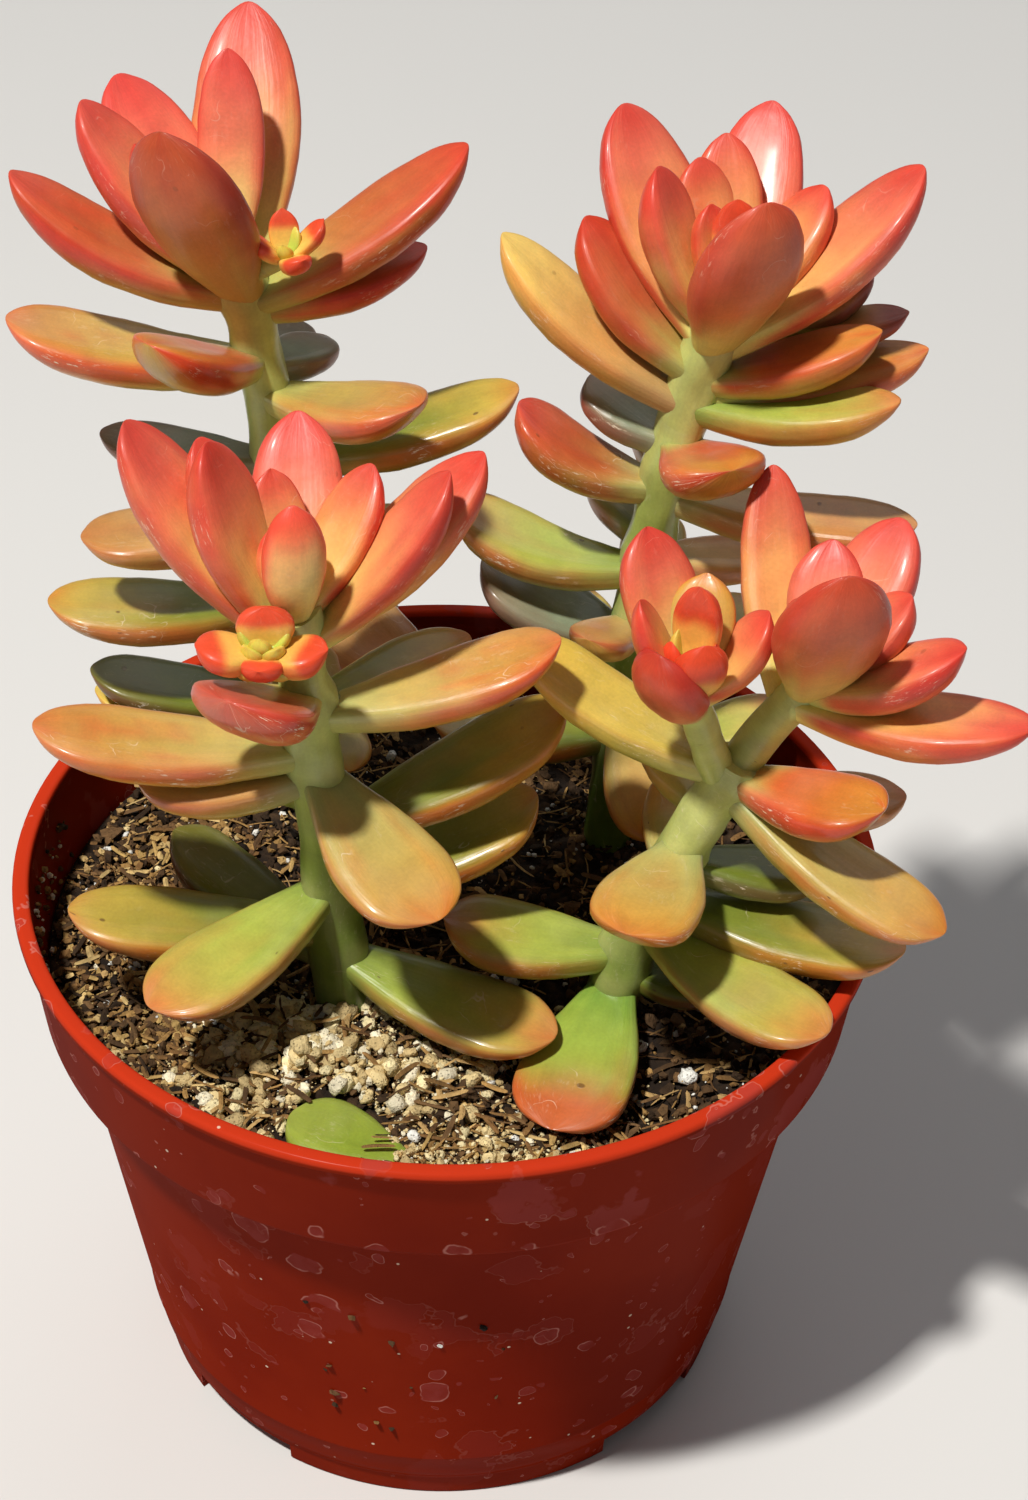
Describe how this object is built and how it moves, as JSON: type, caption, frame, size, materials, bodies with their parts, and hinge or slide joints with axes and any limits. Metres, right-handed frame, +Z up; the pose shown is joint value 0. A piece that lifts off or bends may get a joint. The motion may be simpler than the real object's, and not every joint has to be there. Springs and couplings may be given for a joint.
{
  "type": "potted coppertone stonecrop",
  "caption": "Succulent with fleshy coral and olive leaves in rosettes on upright stems, rooted in gritty soil in a round plastic nursery pot with a stepped collar.",
  "frame": {"origin": "on the pot's axis, at the floor that it stands on", "axes": "+Z up along the pot's axis, +X to the right and +Y to the back of the view that the plant is shown from"},
  "size_m": [0.1679, 0.1524, 0.2393],
  "materials": {
    "pot_plastic": "satin moulded plastic, red brown, with dried water spots",
    "soil": "dark peat with bark fibres, white perlite and pale gravel",
    "green_leaf": "waxy leaf skin, olive and yellow green with orange edges",
    "coral_leaf": "glossy leaf skin, coral red that fades to pale yellow at the root"
  },
  "bodies": {
    "root": {"pot": "pot_plastic", "soil": "soil", "leafy_stem_back_left": "green_leaf", "rosette_back_left": "coral_leaf", "leafy_stem_front_left": "green_leaf", "rosette_front_left": "coral_leaf", "leafy_stem_back_right": "green_leaf", "rosette_back_right": "coral_leaf", "forked_stem_front_right": "green_leaf", "rosette_small_front_right": "coral_leaf", "rosette_large_front_right": "coral_leaf", "fallen_leaf": "green_leaf"}
  },
  "joints": []
}
